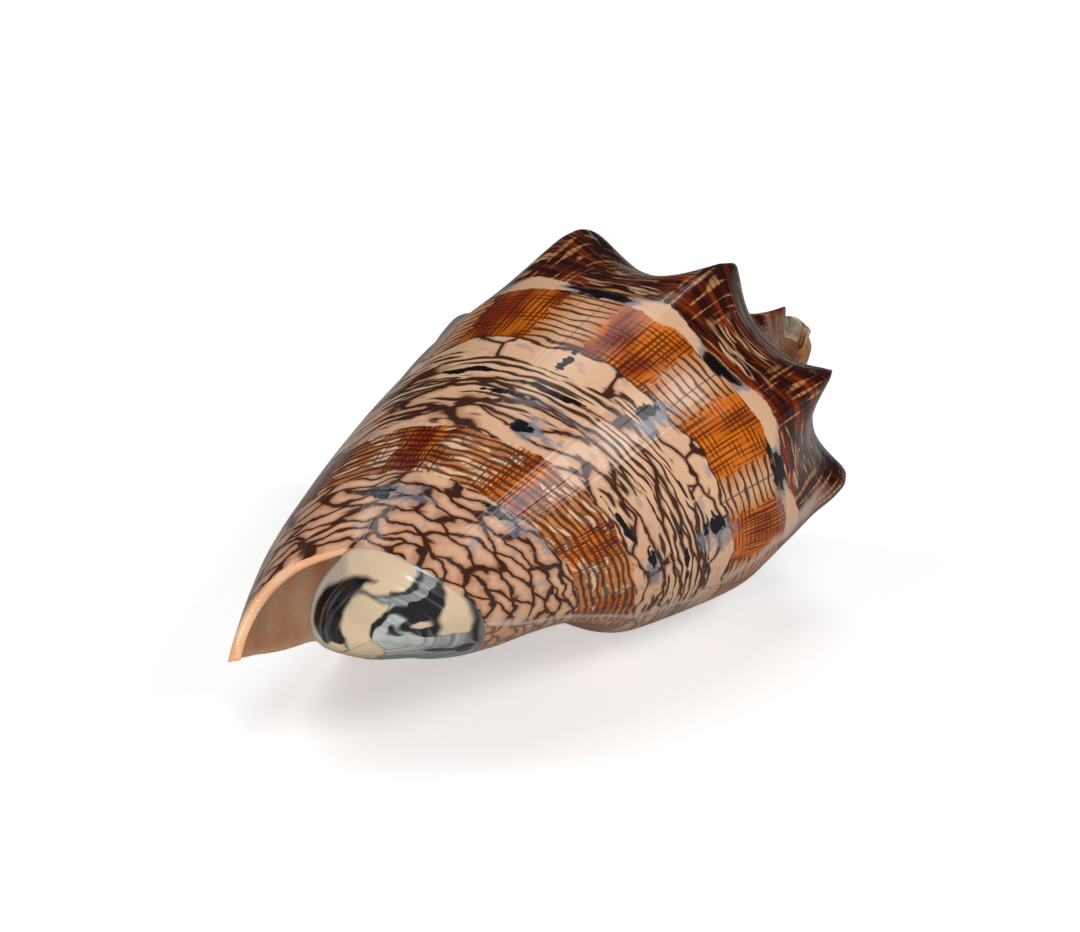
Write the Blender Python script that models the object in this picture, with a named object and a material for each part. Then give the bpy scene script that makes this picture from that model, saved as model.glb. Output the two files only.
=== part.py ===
"""Volute shell, lying on its aperture, as one closed solid.

The shell is a growing edge that turns about an axis. Each point of the edge keeps its own
rate of growth, so the whole wall is a function of two numbers: the growth angle in degrees
and u, the place along the edge, 0 at the suture and 10 at the front end.

All lengths are millimetres until the last step, which makes metres of them. Sections are
drawn as r, the distance from the shell's axis, and h, the distance from the apex forwards.
"""
import bpy
import bmesh
from math import sin, cos, pi, radians, exp, floor, hypot
from mathutils import Matrix

# ---------------------------------------------------------------- driving dimensions
MM = 0.001
TURN = 360.0

LIP_ANGLE = 214.0            # growth angle of the outer lip
START_ANGLE = LIP_ANGLE - TURN    # where the last whorl begins, under the lip
NOTCH_ANGLE = LIP_ANGLE - 105.0   # tip of the siphonal notch
SPIRE_TURNS = 1.5            # whorls between the nucleus and the last whorl
CAVITY_TURN = 322.5          # degrees that the hollow runs back from the lip

# Growing edge: radius, distance from the apex, and growth per turn of each. The suture is
# not listed, because it is the seam of the whorl before.
REF_ANGLE = 150.0            # growth angle at which the edge is drawn
CREST = 3                    # the spines stand here
SEAM = 4                     # the next whorl's suture runs along this place
BODY_END = 7.5               # the columella leaves the whorl before here
FRONT = 10
EDGE = [
    (27.5, 38.0, 2.30, 2.35),
    (37.0, 49.5, 2.40, 2.50),
    (45.0, 60.0, 2.55, 2.60),
    (48.9, 70.0, 2.20, 2.25),
    (50.0, 85.0, 1.88, 2.05),
    (46.8, 100.5, 1.86, 1.95),
    (42.6, 116.5, 1.87, 1.89),
    (37.4, 133.0, 1.90, 1.84),
    (32.0, 148.5, 1.98, 1.74),
    (23.3, 165.5, 2.00, 1.60),
]
SUTURE_BLEND = 1.2           # places over which the edge leaves the suture

# The early whorls are slimmer than the later growth makes them, with smaller spines
EARLY_FROM = 258.0           # degrees before the reference zero
EARLY_TO = 335.0
EARLY_SHARE = 0.22
EARLY_SPINES = (-355.0, -290.0)
EARLY_SHIFT = 10.0           # degrees that the early spines fall behind their pitch

# Shoulder spines
SPINE_FIRST = 117.5
SPINE_PITCH = 43.8
SPINE_OUT = 10.1
SPINE_GROWTH = 1.75
SPINE_BACK = 4.6
SPINE_BACK_GROWTH = 1.2      # the early spines point more towards the apex
SPINE_WIDTH = 0.17           # share of the pitch, at the crest
RIDGE_WIDTH = 0.33           # share of the pitch, on the body below
SPINE_REACH = (1.25, 1.35)   # places that a spine spreads above and below the crest

# Glazed swelling of the body beside the aperture
SWELL_ANGLE = -108.0
SWELL_SPREAD = 50.0
SWELL_HEIGHT = 8.3
SWELL_SLOPE = 1.6            # more height per place towards the front
# Slightly flatter flank below the last spine, and a flare at the lip's front end
FLANK_ANGLE = 145.0
FLANK_SPREAD = 26.0
FLANK_DEPTH = 1.5
FLARE_HEIGHT = 1.2
# Waist of the columella above the fasciole
WAIST_DEPTH = 3.6
WAIST_SPREAD = 75.0
WAIST_R = 7.0                # its radius inside the hollow

# Rim of the fasciole round the front end: angle, radius, distance from the apex
RIM = [
    (-146, 15.5, 154.0), (-120, 12.5, 149.0), (-105, 12.0, 145.0), (-90, 13.0, 140.5),
    (-60, 13.8, 136.0), (-30, 14.5, 136.5), (0, 16.0, 138.7), (23, 18.0, 142.0),
    (50, 19.0, 147.3), (82, 19.7, 151.0), (109, 19.5, 152.2), (135, 17.7, 153.3),
    (165, 17.2, 155.8), (195, 17.0, 156.8), (214, 15.5, 154.0),
]
RIM_BLEND = 2.4              # places over which the edge runs down to the rim
RIM_EASE = 26.0              # degrees past the notch over which the edge leaves the rim
TIP_H = 156.0                # the axis leaves the fasciole here
FACE_CROWN = 2.2             # how far the fasciole's face bulges

# Wall
WALL = 2.8                   # thickness at the lip
WALL_GROWTH = 1.8            # per turn
FRONT_WALL = (2.5, 5.0)      # at the fasciole's rim, along r and along h
SUTURE_INNER = 4.35          # place on the seam where the wall's inner side meets it
INNER_SPINE = 0.45           # how much of a spine the hollow follows

# Outer lip
LIP_REACH = 5.3              # degrees that it reaches forward at the shoulder
WING_CUT = 24.0              # degrees that it draws back at its front end

# Nucleus
APEX_H = -1.0                # its top
APEX_SHIFT = (-1.4, 3.0)     # it leans off the axis by this much
NUCLEUS_FULLNESS = 0.52      # 1 is an ellipse, less is a fuller dome
NUCLEUS_RINGS = 5

# Rest pose: the axis leans by TILT, apex up, and its middle stands at PLACE
TILT = 5.0
MIDDLE_H = 90.0
PLACE = (9.47, -3.36, 35.25)

# Rows and columns of the loft
STEP = 7.5                   # degrees between two rows
BODY_PLACES = [0, 0.6, 1.2, 1.8, 2.3, 2.7, 3, 3.3, 3.65, SEAM, SUTURE_INNER, 4.8, 5.3, 5.8,
               6.3, 6.9, BODY_END, 8.0, 8.5, 9.0, 9.35, 9.7, FRONT]
FACE_RINGS = [0, 0.25, 0.5, 0.75, 1]
WELD = 0.02
DU = 0.02                    # step along the edge for its direction

COLOUR = (0.48, 0.25, 0.12, 1.0)
ROUGHNESS = 0.25


# ---------------------------------------------------------------- curves
def smooth(x, low, high):
    """0 below low, 1 above high, eased between."""
    t = min(max((x - low) / (high - low), 0.0), 1.0)
    return t * t * (3.0 - 2.0 * t)


def bell(x, middle, width):
    return exp(-((x - middle) / width) ** 2)


def mix(a, b, t):
    return tuple(p + (q - p) * t for p, q in zip(a, b))


def catmull(points, u):
    """Point on a smooth curve through the points; u counts the points."""
    last = len(points) - 1
    i = min(max(int(floor(u)), 0), last - 1)
    t = u - i
    b, c = points[i], points[i + 1]
    a = points[i - 1] if i > 0 else tuple(2 * p - q for p, q in zip(b, c))
    d = points[i + 2] if i + 2 <= last else tuple(2 * q - p for p, q in zip(b, c))
    return tuple(
        0.5 * (2 * b[k] + (c[k] - a[k]) * t + (2 * a[k] - 5 * b[k] + 4 * c[k] - d[k]) * t * t
               + (3 * b[k] - a[k] - 3 * c[k] + d[k]) * t ** 3)
        for k in range(len(b)))


def with_suture(edge):
    """The edge with its suture: the seam's point, one turn younger."""
    r, h, grow_r, grow_h = edge[SEAM - 1]
    return [(r / grow_r, h / grow_h, grow_r, grow_h)] + edge


WHOLE_EDGE = with_suture(EDGE)


def rim(angle):
    """The fasciole's rim at this angle, eased between its stations."""
    angle = min(max(angle, RIM[0][0]), RIM[-1][0])
    i = max(k for k in range(len(RIM) - 1) if RIM[k][0] <= angle)
    share = smooth(angle, RIM[i][0], RIM[i + 1][0])
    return mix(RIM[i][1:], RIM[i + 1][1:], share)


# ---------------------------------------------------------------- the surface
def spiral(angle, u):
    """The plain growing edge, without spines."""
    r, h, grow_r, grow_h = catmull(WHOLE_EDGE, u)
    turns = (angle - REF_ANGLE) / TURN
    slim = 1 - EARLY_SHARE * smooth(-angle, EARLY_FROM, EARLY_TO)
    return r * grow_r ** turns * slim, h * grow_h ** turns


def spine_weight(angle, u):
    """1 at a spine's tip, falling off along the spiral and along the edge."""
    late = angle - SPINE_FIRST + EARLY_SHIFT * smooth(-angle, 60.0, 280.0)
    away = abs((late + SPINE_PITCH / 2) % SPINE_PITCH - SPINE_PITCH / 2)
    below = min(max((u - CREST) / 2.2, 0.0), 1.0)
    width = SPINE_WIDTH + (RIDGE_WIDTH - SPINE_WIDTH) * below
    along = exp(-(away / SPINE_PITCH / width) ** (1.25 + 0.75 * below))
    across = bell(u, CREST, SPINE_REACH[0] if u < CREST else SPINE_REACH[1])
    return along * across * smooth(angle, *EARLY_SPINES)


def swellings(angle, u):
    """What the body stands out or in from the plain spiral."""
    swell = (SWELL_HEIGHT + SWELL_SLOPE * (u - 6.0)) * bell(angle, SWELL_ANGLE, SWELL_SPREAD)
    swell *= smooth(u, 4.3, 6.0) * (1 - smooth(u, 7.5, 9.2))
    flank = FLANK_DEPTH * bell(angle, FLANK_ANGLE, FLANK_SPREAD) * bell(u, 5.0, 1.6)
    flank *= smooth(u, 4.0, 4.6)
    flare = FLARE_HEIGHT * smooth(angle, 140.0, 190.0)
    flare *= smooth(u, 6.0, 8.0) * (1 - smooth(u, 8.6, 9.8))
    return swell - flank + flare


def outer(angle, u, spines=1.0, to_rim=True):
    """Outside of the shell in the half plane at this growth angle."""
    r, h = spiral(angle, u)
    if u < SUTURE_BLEND:
        # the suture lies on the whorl before, over its ridges and hollows
        seam = outer(angle - TURN, SEAM)
        suture = spiral(angle, 0)
        share = 1 - smooth(u, 0.0, SUTURE_BLEND)
        r += (seam[0] - suture[0]) * share
        h += (seam[1] - suture[1]) * share
        spines *= 1 - share
    turns = (angle - REF_ANGLE) / TURN
    size = spines * spine_weight(angle, u)
    r += SPINE_OUT * SPINE_GROWTH ** turns * size + swellings(angle, u)
    h -= SPINE_BACK * SPINE_BACK_GROWTH ** turns * size
    if to_rim:
        end = spiral(angle, FRONT)
        goal = rim(min(angle, NOTCH_ANGLE))
        share = min(max((u - FRONT + RIM_BLEND) / RIM_BLEND, 0.0), 1.0) ** 1.6
        share *= 1 - smooth(angle, NOTCH_ANGLE, NOTCH_ANGLE + RIM_EASE)
        r += (goal[0] - end[0]) * share
        h += (goal[1] - end[1]) * share
        waist = bell(u, 9.0, 0.7) * (1 - smooth(u, 9.4, 10.0))
        r -= WAIST_DEPTH * waist * bell(angle, -110.0, WAIST_SPREAD)
    return r, h


def inset(angle, u):
    """The outside moved in by the wall."""
    low = outer(angle, max(u - DU, 0.0), INNER_SPINE)
    high = outer(angle, min(u + DU, FRONT), INNER_SPINE)
    here = outer(angle, u, INNER_SPINE)
    along = (high[0] - low[0], high[1] - low[1])
    share = WALL * WALL_GROWTH ** ((angle - LIP_ANGLE) / TURN) / hypot(*along)
    return here[0] - along[1] * share, here[1] + along[0] * share


def inner(angle, u):
    """Inside of the outer wall."""
    r, h = inset(angle, u)
    # the front end has the rim's own wall until the notch opens
    here = outer(angle, u, INNER_SPINE)
    share = smooth(u, 8.4, FRONT) * (1 - smooth(angle, NOTCH_ANGLE, NOTCH_ANGLE + 30.0))
    r, h = mix((r, h), (here[0] - FRONT_WALL[0], here[1] - FRONT_WALL[1]), share)
    # the suture end meets the whorl before
    if u < SUTURE_BLEND:
        corner = outer(angle - TURN, SUTURE_INNER)
        start = inset(angle, 0.0)
        share = 1 - smooth(u, 0.0, SUTURE_BLEND)
        r += (corner[0] - start[0]) * share
        h += (corner[1] - start[1]) * share
    return r, h


def rim_inner(angle):
    """Inner side of the fasciole's rim; it thins out to nothing at the lip."""
    r, h = rim(angle)
    left = 1 - smooth(angle, 150.0, LIP_ANGLE)
    return r - FRONT_WALL[0] * left, h - FRONT_WALL[1] * left


def columella(angle, u):
    """Inner wall of the hollow: the whorl before, then the columella, then the rim."""
    before = angle - TURN
    if u <= BODY_END:
        deep = outer(before, u, 1.0, False)
    else:
        t = (u - BODY_END) / (FRONT - BODY_END)
        start = outer(before, BODY_END, 1.0, False)
        finish = rim_inner(angle)
        waist = (WAIST_R, 0.45 * start[1] + 0.55 * finish[1])
        deep = mix(mix(start, waist, t), mix(waist, finish, t), t)
    return mix(deep, outer(before, u), smooth(angle, LIP_ANGLE - 75.0, LIP_ANGLE))


def face(angle, w):
    """Front face of the fasciole, from its rim (w = 0) to the axis (w = 1)."""
    r, h = rim(angle)
    return r * (1 - w), h + (TIP_H - h) * w ** 1.3 + FACE_CROWN * sin(pi * w)


# ---------------------------------------------------------------- building the mesh
def leaning_angle(step, u):
    """Growth angle of a row: past the notch the rows lean over to the lip's outline."""
    angle = START_ANGLE + step * STEP
    if angle <= NOTCH_ANGLE:
        return angle
    lip = LIP_ANGLE + LIP_REACH * smooth(u, 0.0, 2.5) * (1 - smooth(u, 6.5, BODY_END))
    lip -= WING_CUT * (max(u - 6.0, 0.0) / 4.0) ** 2
    share = (angle - NOTCH_ANGLE) / (LIP_ANGLE - NOTCH_ANGLE)
    return NOTCH_ANGLE + (lip - NOTCH_ANGLE) * share


def place(angle, section):
    a = radians(angle)
    return section[0] * cos(a), MIDDLE_H - section[1], section[0] * sin(a)


def leaning_point(shape, step, u):
    angle = leaning_angle(step, u)
    return place(angle, shape(angle, u))


def even_point(shape, step, u):
    angle = START_ANGLE + step * STEP
    return place(angle, shape(angle, u))


def add_sheet(bm, rows, flip=False):
    """Faces between rows of equal length; returns the rows' vertices."""
    made = [[bm.verts.new(point) for point in row] for row in rows]
    for first, second in zip(made, made[1:]):
        for k in range(len(first) - 1):
            quad = [first[k], first[k + 1], second[k + 1], second[k]]
            bm.faces.new(reversed(quad) if flip else quad)
    return made


def add_outside(bm, steps):
    """Last whorl, spire and the fasciole's face."""
    spire = round(SPIRE_TURNS * steps)
    seam_places = [u for u in BODY_PLACES if u <= SEAM]
    last = range(steps + 1)
    add_sheet(bm, [[leaning_point(outer, i, u) for u in BODY_PLACES] for i in last])
    add_sheet(bm, [[leaning_point(outer, i, u) for u in seam_places]
                   for i in range(-spire, 1)])
    add_sheet(bm, [[even_point(face, i, w) for w in FACE_RINGS] for i in last])
    # the nucleus is a dome over the loop that the first suture leaves open
    loop = [leaning_point(outer, i, 0) for i in range(-spire, steps - spire)]
    loop += [leaning_point(outer, -spire, u) for u in reversed(seam_places)]
    top = MIDDLE_H - APEX_H
    dome = []
    for ring in range(NUCLEUS_RINGS + 1):
        t = ring / NUCLEUS_RINGS * pi / 2
        out = max(cos(t), 0.0) ** NUCLEUS_FULLNESS
        up = sin(t) ** NUCLEUS_FULLNESS
        dome.append([(x * out + APEX_SHIFT[0] * up, y + (top - y) * up,
                      z * out + APEX_SHIFT[1] * up) for x, y, z in loop])
    add_sheet(bm, dome, flip=True)


def add_hollow(bm, steps):
    """Inner side of the wall and the columella, closed far inside."""
    first = steps - round(CAVITY_TURN / STEP)
    hollow_places = [u for u in BODY_PLACES if u >= SUTURE_INNER]
    rows = range(first, steps + 1)
    wall = add_sheet(bm, [[leaning_point(inner, i, u) for u in BODY_PLACES] for i in rows],
                     flip=True)
    core = add_sheet(bm, [[even_point(columella, i, u) for u in hollow_places] for i in rows])
    ends = [vert.co[:] for vert in wall[0]] + [vert.co[:] for vert in core[0][::-1][1:-1]]
    bm.faces.new([bm.verts.new(end) for end in ends])


def add_edges(bm, steps):
    """Outer lip, the wing's edge beside the notch, and the fasciole's free rim."""
    add_sheet(bm, [[leaning_point(shape, steps, u) for u in BODY_PLACES]
                   for shape in (outer, inner)])
    margin = range(round((NOTCH_ANGLE - START_ANGLE) / STEP), steps + 1)
    add_sheet(bm, [[leaning_point(shape, i, FRONT) for i in margin]
                   for shape in (inner, outer)], flip=True)
    add_sheet(bm, [[even_point(columella, i, FRONT) for i in margin],
                   [even_point(face, i, 0) for i in margin]])


def make_material(name):
    material = bpy.data.materials.new(name)
    material.use_nodes = True
    principled = material.node_tree.nodes["Principled BSDF"]
    principled.inputs["Base Color"].default_value = COLOUR
    principled.inputs["Roughness"].default_value = ROUGHNESS
    principled.inputs["Metallic"].default_value = 0.0
    material.diffuse_color = COLOUR
    return material


def make_shell(collection):
    steps = round(TURN / STEP)
    bm = bmesh.new()
    add_outside(bm, steps)
    add_hollow(bm, steps)
    add_edges(bm, steps)
    bmesh.ops.remove_doubles(bm, verts=bm.verts, dist=WELD)
    bmesh.ops.triangulate(bm, faces=bm.faces)
    bmesh.ops.recalc_face_normals(bm, faces=bm.faces)
    pose = Matrix.Translation(PLACE) @ Matrix.Rotation(radians(TILT), 4, "X")
    bmesh.ops.transform(bm, matrix=pose, verts=bm.verts)
    for vert in bm.verts:
        vert.co.z = max(vert.co.z, 0.0)      # the touching ridges are worn level
    bmesh.ops.scale(bm, vec=(MM, MM, MM), verts=bm.verts)
    open_edges = [edge for edge in bm.edges if len(edge.link_faces) != 2]
    print("shell:", len(bm.faces), "triangles,", len(open_edges), "open edges")
    mesh = bpy.data.meshes.new("shell")
    bm.to_mesh(mesh)
    bm.free()
    mesh.shade_smooth()
    mesh.materials.append(make_material("shell"))
    shell = bpy.data.objects.new("shell", mesh)
    collection.objects.link(shell)


for old in list(bpy.data.objects):
    bpy.data.objects.remove(old)
volute = bpy.data.collections.new("volute_shell")
bpy.context.scene.collection.children.link(volute)
make_shell(volute)
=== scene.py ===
from math import cos, pi, radians, sin

import bmesh
import bpy
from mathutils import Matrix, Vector


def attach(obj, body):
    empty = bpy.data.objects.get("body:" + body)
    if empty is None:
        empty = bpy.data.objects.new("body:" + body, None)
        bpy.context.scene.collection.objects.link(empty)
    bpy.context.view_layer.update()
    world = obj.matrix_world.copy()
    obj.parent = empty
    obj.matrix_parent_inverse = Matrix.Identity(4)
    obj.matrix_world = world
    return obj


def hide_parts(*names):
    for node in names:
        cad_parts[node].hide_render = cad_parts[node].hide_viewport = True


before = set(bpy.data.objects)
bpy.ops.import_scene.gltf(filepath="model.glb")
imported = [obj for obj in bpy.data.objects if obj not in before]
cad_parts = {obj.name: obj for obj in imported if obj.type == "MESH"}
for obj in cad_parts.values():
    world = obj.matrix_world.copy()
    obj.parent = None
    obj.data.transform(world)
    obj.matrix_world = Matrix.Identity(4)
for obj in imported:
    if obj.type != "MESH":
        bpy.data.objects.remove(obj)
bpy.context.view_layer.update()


# Adds one node: inputs by number or name, each a socket to link or a value to set.
def addNode(tree, kind, inputs=(), **settings):
    node = tree.nodes.new(kind)
    for name, value in settings.items():
        setattr(node, name, value)
    pairs = inputs.items() if isinstance(inputs, dict) else enumerate(inputs)
    for key, value in pairs:
        value = getattr(value, "socket", value)
        if isinstance(value, bpy.types.NodeSocket):
            tree.links.new(value, node.inputs[key])
        elif value is not None:
            node.inputs[key].default_value = value
    return node


# A number in a node tree, so that a formula in the tree reads as it would on paper.
class Number:
    def __init__(self, tree, socket):
        self.tree = tree
        self.socket = socket

    def do(self, operation, *others):
        node = addNode(self.tree, "ShaderNodeMath", (self, *others), operation=operation)
        return Number(self.tree, node.outputs[0])

    def __add__(self, other):
        return self.do("ADD", other)

    def __sub__(self, other):
        return self.do("SUBTRACT", other)

    def __rsub__(self, other):
        return self.do("MULTIPLY_ADD", -1.0, other)

    def __mul__(self, other):
        return self.do("MULTIPLY", other)

    def __truediv__(self, other):
        return self.do("DIVIDE", other)

    def __pow__(self, other):
        return self.do("POWER", other)

    def __rpow__(self, other):
        node = addNode(self.tree, "ShaderNodeMath", (other, self), operation="POWER")
        return Number(self.tree, node.outputs[0])

    __radd__ = __add__
    __rmul__ = __mul__

    # 0 below low, 1 above high, eased between
    def ease(self, low, high):
        node = addNode(self.tree, "ShaderNodeMapRange", (self, low, high),
                       interpolation_type="SMOOTHSTEP")
        return Number(self.tree, node.outputs[0])

    # 0 below low, 1 above high, straight between
    def ramp(self, low, high):
        node = addNode(self.tree, "ShaderNodeMapRange", (self, low, high))
        return Number(self.tree, node.outputs[0])

    # 1 at the middle, falling off to both sides
    def bell(self, middle, width):
        return (((self - middle) / width) ** 2 * -1.0).do("EXPONENT")

    def mixTo(self, other, share):
        return self + (other - self) * share


# sRGB hex to the linear colour that a shader wants
def linear(hexColour):
    parts = [int(hexColour[i:i + 2], 16) / 255 for i in (1, 3, 5)]
    return [p / 12.92 if p <= 0.04045 else ((p + 0.055) / 1.055) ** 2.4 for p in parts] + [1.0]


# The shell's growing edge, in millimetres and degrees. u is the place along the edge, from
# 0 at the suture to 10 at the front end; the growth angle counts round the shell's axis.
shell = {
    "lipAngle": 214.0,  # growth angle of the outer lip
    "notchAngle": 109.0,  # and of the siphonal notch's tip
    "spireTurns": 1.5,  # whorls between the nucleus and the last whorl
    "hollowTurn": 322.5,  # how far back from the lip the shell is hollow
    "crest": 3.0,  # u of the spines
    "seam": 4.0,  # u that the next whorl's suture lies on
    "seamInside": 4.4,
    "bodyEnd": 7.5,  # u where the hollow leaves the whorl before for the columella
    "sutureBlend": 1.2,
    # radius, distance from the apex, growth of each in one turn, for u = 1 to 10
    "edge": [(27.5, 38.0, 2.30, 2.35), (37.0, 49.5, 2.40, 2.50), (45.0, 60.0, 2.55, 2.60),
             (48.9, 70.0, 2.20, 2.25), (50.0, 85.0, 1.88, 2.05), (46.8, 100.5, 1.86, 1.95),
             (42.6, 116.5, 1.87, 1.89), (37.4, 133.0, 1.90, 1.84), (32.0, 148.5, 1.98, 1.74),
             (23.3, 165.5, 2.00, 1.60)],
    "edgeAngle": 150.0,  # the growth angle that these sizes hold at
    # rim of the fasciole: growth angle, radius, distance from the apex
    "rim": [(-146, 15.5, 154.0), (-120, 12.5, 149.0), (-105, 12.0, 145.0),
            (-90, 13.0, 140.5), (-60, 13.8, 136.0), (-30, 14.5, 136.5), (0, 16.0, 138.7),
            (23, 18.0, 142.0), (50, 19.0, 147.3), (82, 19.7, 151.0), (109, 19.5, 152.2),
            (135, 17.7, 153.3), (165, 17.2, 155.8), (195, 17.0, 156.8), (214, 15.5, 154.0)],
    "spineHeight": 10.1,
    "spineBack": 4.6,  # how far a spine's tip leans towards the apex
    "spinePitch": 43.8,
    "spineFirst": 117.5,
    "spineGrowth": (1.75, 1.2),  # in one turn: its height, its lean
    "wall": 2.8,
    "wallGrowth": 1.8,
    "columellaRadius": 7.0,
    "lipReach": 5.3,  # how far round the lip's shoulder reaches past its ends, in degrees
    "lipRound": 1.1,
    "ripple": 0.16,
    "tilt": 5.0,  # the axis rises towards the spire
    "middle": 90.0,  # distance from the apex that lies over "place"
    "place": (9.47, -3.36, 35.25),
    "apex": 2.0,
    "apexShift": (-1.2, 2.1),
    "nucleusRadius": 6.8,
    "nucleusFullness": (0.6, 0.7),  # of its sides and its top; less is fuller
    "nucleusRibs": 9,
    "nucleusRibHeight": 0.12,
    "nucleusEnd": 75,  # degrees of the loop that run back to the suture
    "tip": 156.0,  # end of the axis
    "rowStep": 1.875,
    "placeStep": 0.1,
    "faceStep": 0.04,
    "ringStep": 0.0625,
    "edgeSteps": 4,
    "weld": 0.000012,  # metres
}
startAngle = shell["lipAngle"] - 360
seamGrowth = shell["edge"][int(shell["seam"]) - 1]
shell["edge"].insert(0, (seamGrowth[0] / seamGrowth[2], seamGrowth[1] / seamGrowth[3],
                         *seamGrowth[2:]))


# An empty node tree with these inputs and outputs, and its two end nodes.
def newTree(name, inputs, outputs):
    tree = bpy.data.node_groups.new(name, "GeometryNodeTree")
    for names, side in ((inputs, "INPUT"), (outputs, "OUTPUT")):
        for label, kind in names:
            tree.interface.new_socket(label, in_out=side, socket_type="NodeSocket" + kind)
    start = addNode(tree, "NodeGroupInput")
    return tree, [Number(tree, socket) for socket in start.outputs[:-1]]


def pointTree(name, extras=()):
    names = [("angle", "Float"), ("u", "Float")] + [(extra, "Float") for extra in extras]
    return newTree(name, names, [("r", "Float"), ("h", "Float")])


def finishTree(tree, *results):
    addNode(tree, "NodeGroupOutput", results)
    return tree


# Uses a finished group with these inputs; returns its outputs as numbers.
def use(tree, group, *inputs):
    node = addNode(tree, "GeometryNodeGroup", node_tree=group)
    for socket, value in zip(node.inputs, inputs):
        if isinstance(value, Number):
            tree.links.new(value.socket, socket)
        else:
            socket.default_value = value
    return [Number(tree, socket) for socket in node.outputs]


# A table read along x as a smooth curve; x runs from 0 to 1 over the table.
def readTable(x, stations, values):
    top = max(values)
    node = addNode(x.tree, "ShaderNodeFloatCurve", {"Value": x})
    points = node.mapping.curves[0].points
    for _ in stations[2:]:
        points.new(0.5, 0.5)
    for point, station, value in zip(points, stations, values):
        point.location = (station, value / top)
    node.mapping.update()
    return Number(x.tree, node.outputs[0]) * top


# The plain spiral: each place on the edge grows at its own rate.
def makeSpiral():
    tree, (angle, u) = pointTree("plain spiral")
    stations = [i / 10 for i in range(11)]
    share = u / 10
    radius, height, growR, growH = (
        readTable(share, stations, [row[k] for row in shell["edge"]]) for k in range(4))
    turns = (angle - shell["edgeAngle"]) / 360
    slim = 1 - (angle * -1).ease(258, 335) * 0.22
    return finishTree(tree, radius * growR ** turns * slim, height * growH ** turns)


def makeRim():
    tree, (angle, u) = pointTree("fasciole rim")
    stations = [(row[0] - startAngle) / 360 for row in shell["rim"]]
    share = (angle - startAngle).ramp(0, 360)
    return finishTree(tree, *[readTable(share, stations, [row[k] for row in shell["rim"]])
                              for k in (1, 2)])


# Spiral with its spines, swellings and the pull towards the fasciole's rim.
def makeBody(spiral, rim):
    tree, (angle, u, spines, toRim, height, ripple) = pointTree(
        "body", ("spines", "to rim", "spine height", "ripple"))
    r, h = use(tree, spiral, angle, u)
    pitch = shell["spinePitch"]
    late = angle - shell["spineFirst"] + (angle * -1).ease(60, 280) * 10
    away = late.do("PINGPONG", pitch / 2)
    below = (u - shell["crest"]).ramp(0, 2.2)
    width = below * 0.16 + 0.17
    along = ((away / pitch / width) ** (below * 0.75 + 1.25) * -1).do("EXPONENT")
    reach = u.do("GREATER_THAN", shell["crest"]) * 0.1 + 1.25
    size = along * u.bell(shell["crest"], reach) * angle.ease(-355, -290) * spines
    turns = (angle - shell["edgeAngle"]) / 360
    growR, growH = shell["spineGrowth"]
    r += height * growR ** turns * size
    h -= growH ** turns * size * shell["spineBack"]
    # the glazed swelling beside the aperture, a flatter flank, a flare at the lip's end
    swell = ((u - 6) * 1.6 + 8.3) * angle.bell(-108, 50)
    r += swell * u.ease(4.3, 6) * (1 - u.ease(7.5, 9.2))
    r -= angle.bell(145, 26) * u.bell(5, 1.6) * u.ease(4, 4.6) * 1.5
    r += angle.ease(140, 190) * u.ease(6, 8) * (1 - u.ease(8.6, 9.8)) * 1.2
    # the front end runs down to the rim, over a waist
    endR, endH = use(tree, spiral, angle, 10.0)
    goalR, goalH = use(tree, rim, angle.do("MINIMUM", shell["notchAngle"]), 10.0)
    share = (u - 7.6).ramp(0, 2.4) ** 1.6 * toRim
    share *= 1 - angle.ease(shell["notchAngle"], shell["notchAngle"] + 26)
    r += (goalR - endR) * share
    h += (goalH - endH) * share
    r -= u.bell(9, 0.7) * (1 - u.ease(9.4, 10)) * angle.bell(-110, 75) * toRim * 3.6
    # low growth folds across the whorl
    spot = addNode(tree, "ShaderNodeCombineXYZ", (angle / 9, u * 0.35, 0.0))
    folds = addNode(tree, "ShaderNodeTexNoise", {"Vector": spot.outputs[0], "Scale": 1.0,
                                                 "Detail": 2.0})
    r += (Number(tree, folds.outputs[0]) - 0.5) * ripple * 2 * u.ease(9.9, 9.3)
    return finishTree(tree, r, h)


# Outside of the shell, whose suture lies on the whorl before.
def makeOutside(spiral, body):
    tree, (angle, u, spines, toRim, height, ripple) = pointTree(
        "outside", ("spines", "to rim", "spine height", "ripple"))
    share = 1 - u.ease(0, shell["sutureBlend"])
    seamR, seamH = use(tree, body, angle - 360, shell["seam"], 1.0, 1.0, height, ripple)
    sutureR, sutureH = use(tree, spiral, angle, 0.0)
    r, h = use(tree, body, angle, u, spines * (1 - share), toRim, height,
               ripple * (1 - share))
    return finishTree(tree, r + (seamR - sutureR) * share, h + (seamH - sutureH) * share)


# The outside moved in by the wall.
def makeInset(outside):
    tree, (angle, u, height, wall) = pointTree("inset", ("spine height", "wall"))
    step = 0.02
    low = use(tree, outside, angle, (u - step).do("MAXIMUM", 0), 0.45, 1.0, height, 0.0)
    high = use(tree, outside, angle, (u + step).do("MINIMUM", 10), 0.45, 1.0, height, 0.0)
    here = use(tree, outside, angle, u, 0.45, 1.0, height, 0.0)
    alongR = high[0] - low[0]
    alongH = high[1] - low[1]
    length = (alongR ** 2 + alongH ** 2).do("SQRT")
    growth = shell["wallGrowth"] ** ((angle - shell["lipAngle"]) / 360)
    share = growth * wall / length
    return finishTree(tree, here[0] - alongH * share, here[1] + alongR * share)


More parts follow.
